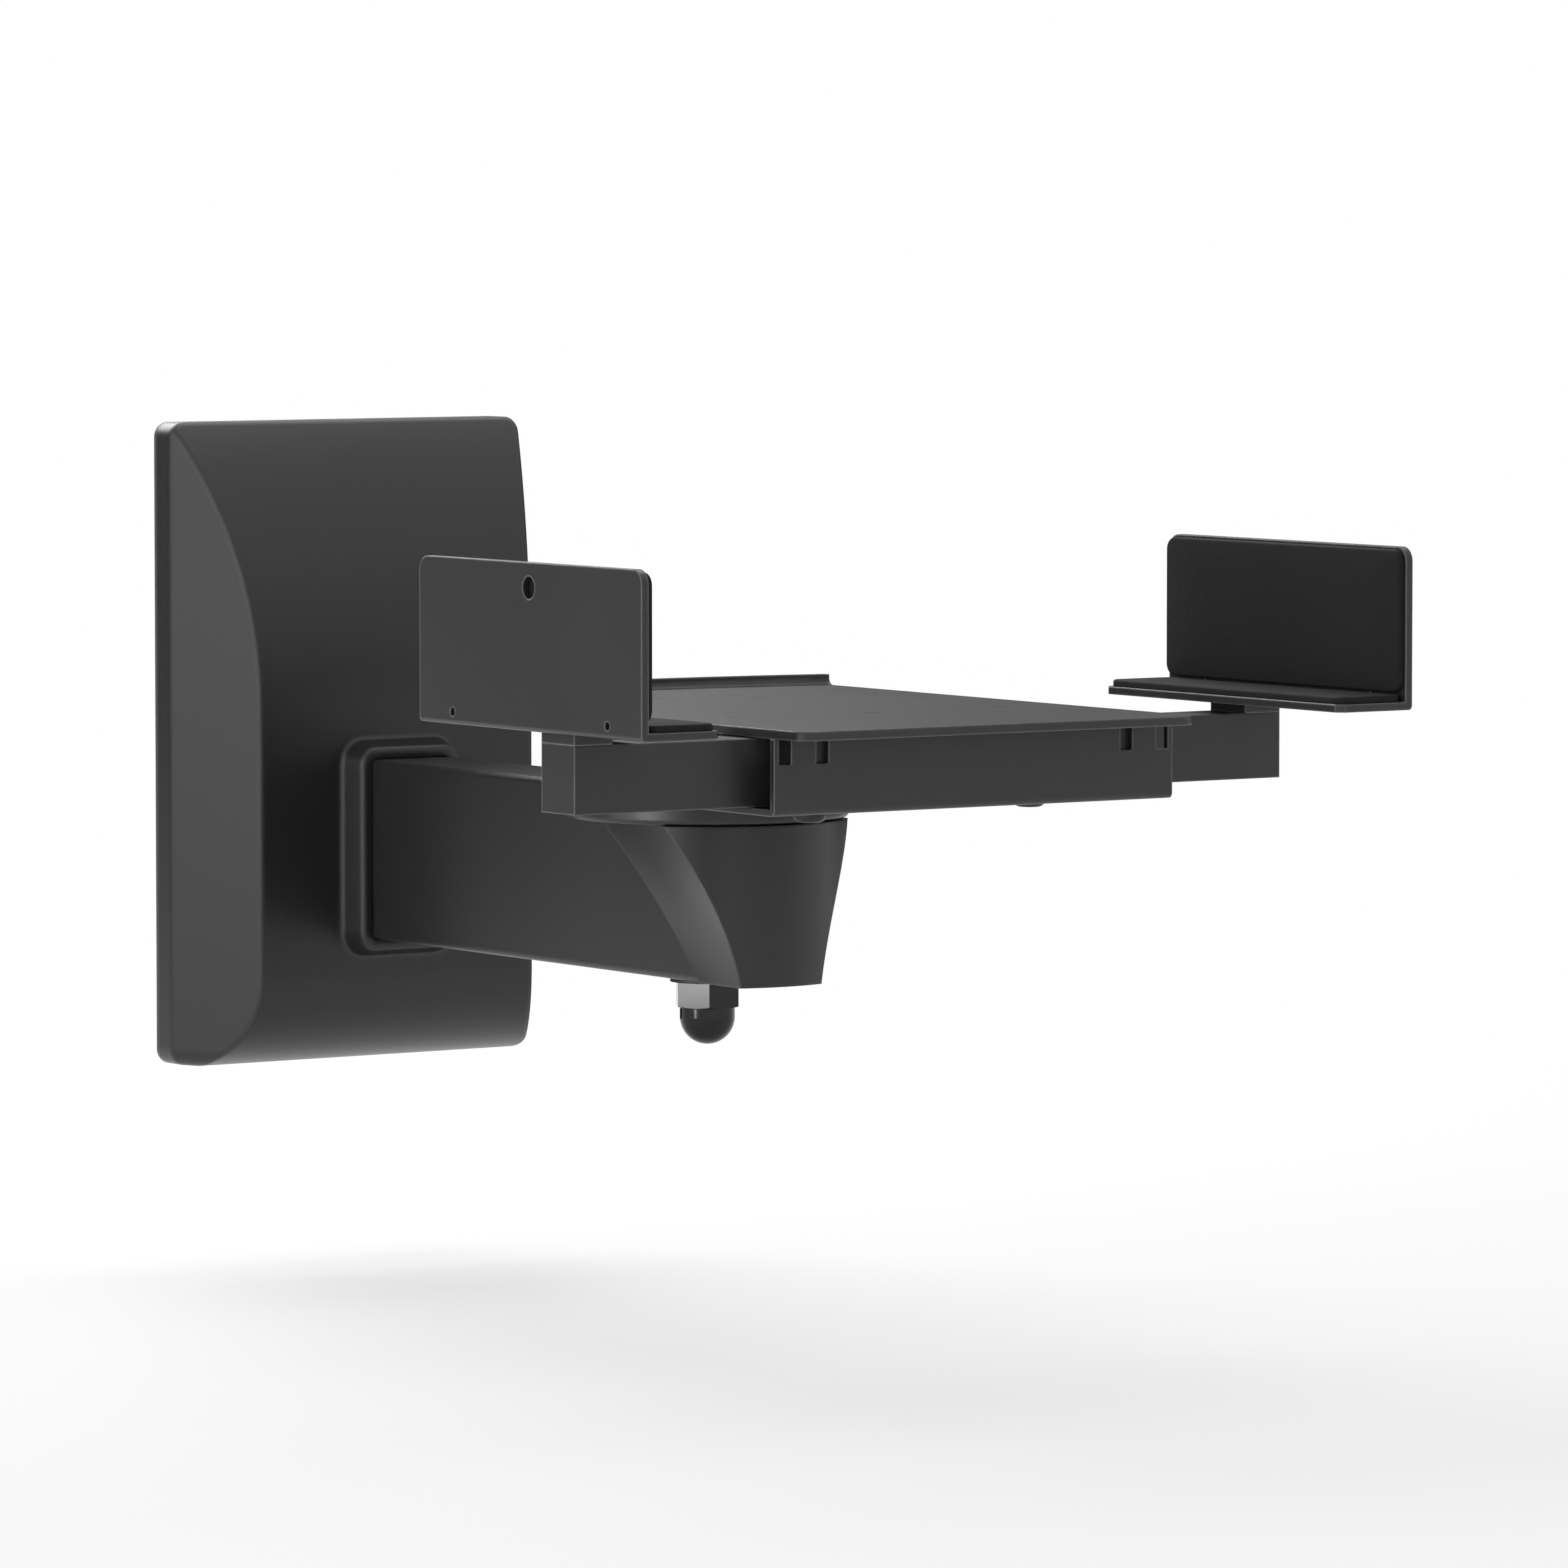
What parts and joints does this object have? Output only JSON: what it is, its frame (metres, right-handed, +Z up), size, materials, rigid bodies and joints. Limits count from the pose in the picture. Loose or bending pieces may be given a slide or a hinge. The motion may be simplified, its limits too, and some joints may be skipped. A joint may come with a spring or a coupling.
{
  "type": "speaker wall bracket",
  "caption": "Wall bracket for a bookshelf speaker: a covered wall plate and cast arm carry a platform that swivels and tilts, with sliding side clamps",
  "frame": {"origin": "centre of the wall plate's back face, on the wall", "axes": "+Z up, -Y out from the wall towards the room, +X to the right when facing the wall"},
  "size_m": [0.252, 0.3635, 0.19],
  "materials": {
    "black_plastic": "fine satin moulding",
    "black_cast": "satin black powder coat on cast alloy",
    "black_sheet": "satin black powder coat on folded steel sheet",
    "zinc_steel": "zinc plated",
    "bright_nut": "bright plated",
    "dark_steel": "black oxide",
    "nylon": "plain nylon",
    "black_nylon": "plain black nylon",
    "pad_rubber": "matt soft pad"
  },
  "bodies": {
    "wall": {"wall_plate": "zinc_steel", "wall_cover": "black_plastic", "cover_screws": "zinc_steel", "arm": "black_cast", "arm_bolts": "zinc_steel"},
    "head": {"swivel_head": "black_cast", "friction_washer": "nylon", "pivot_bolt": "zinc_steel", "nut_washer": "dark_steel", "acorn_nut": "bright_nut"},
    "platform": {"platform": "black_sheet", "tilt_bracket": "black_sheet", "bracket_rivets": "dark_steel", "tilt_bolt": "zinc_steel", "tilt_nut": "zinc_steel", "tilt_washers": "zinc_steel", "outer_channel": "black_sheet", "channel_rivets": "dark_steel", "guide_strip": "black_nylon", "lock_screws": "dark_steel"},
    "clamp_left": {"clamp_left": "black_sheet", "rail_left": "black_sheet", "rail_spacer_left": "black_sheet", "rail_screws_left": "zinc_steel", "base_pad_left": "pad_rubber", "side_pad_left": "pad_rubber"},
    "clamp_right": {"clamp_right": "black_sheet", "rail_right": "black_sheet", "rail_spacer_right": "black_sheet", "rail_screws_right": "zinc_steel", "base_pad_right": "pad_rubber", "side_pad_right": "pad_rubber"}
  },
  "joints": [
    {"name": "swivel", "type": "hinge", "parent": "wall", "child": "head", "pos_m": [0, -0.204, 0], "axis": [0, 0, 1], "range_deg": [-90, 90]},
    {"name": "tilt", "type": "hinge", "parent": "head", "child": "platform", "pos_m": [0, -0.204, 0.006], "axis": [1, 0, 0], "range_deg": [-10, 10]},
    {"name": "clamp_left_slide", "type": "slide", "parent": "platform", "child": "clamp_left", "axis": [-1, 0, 0], "range_m": [-0.044, 0.016]},
    {"name": "clamp_right_slide", "type": "slide", "parent": "platform", "child": "clamp_right", "axis": [1, 0, 0], "range_m": [-0.044, 0.016]}
  ]
}
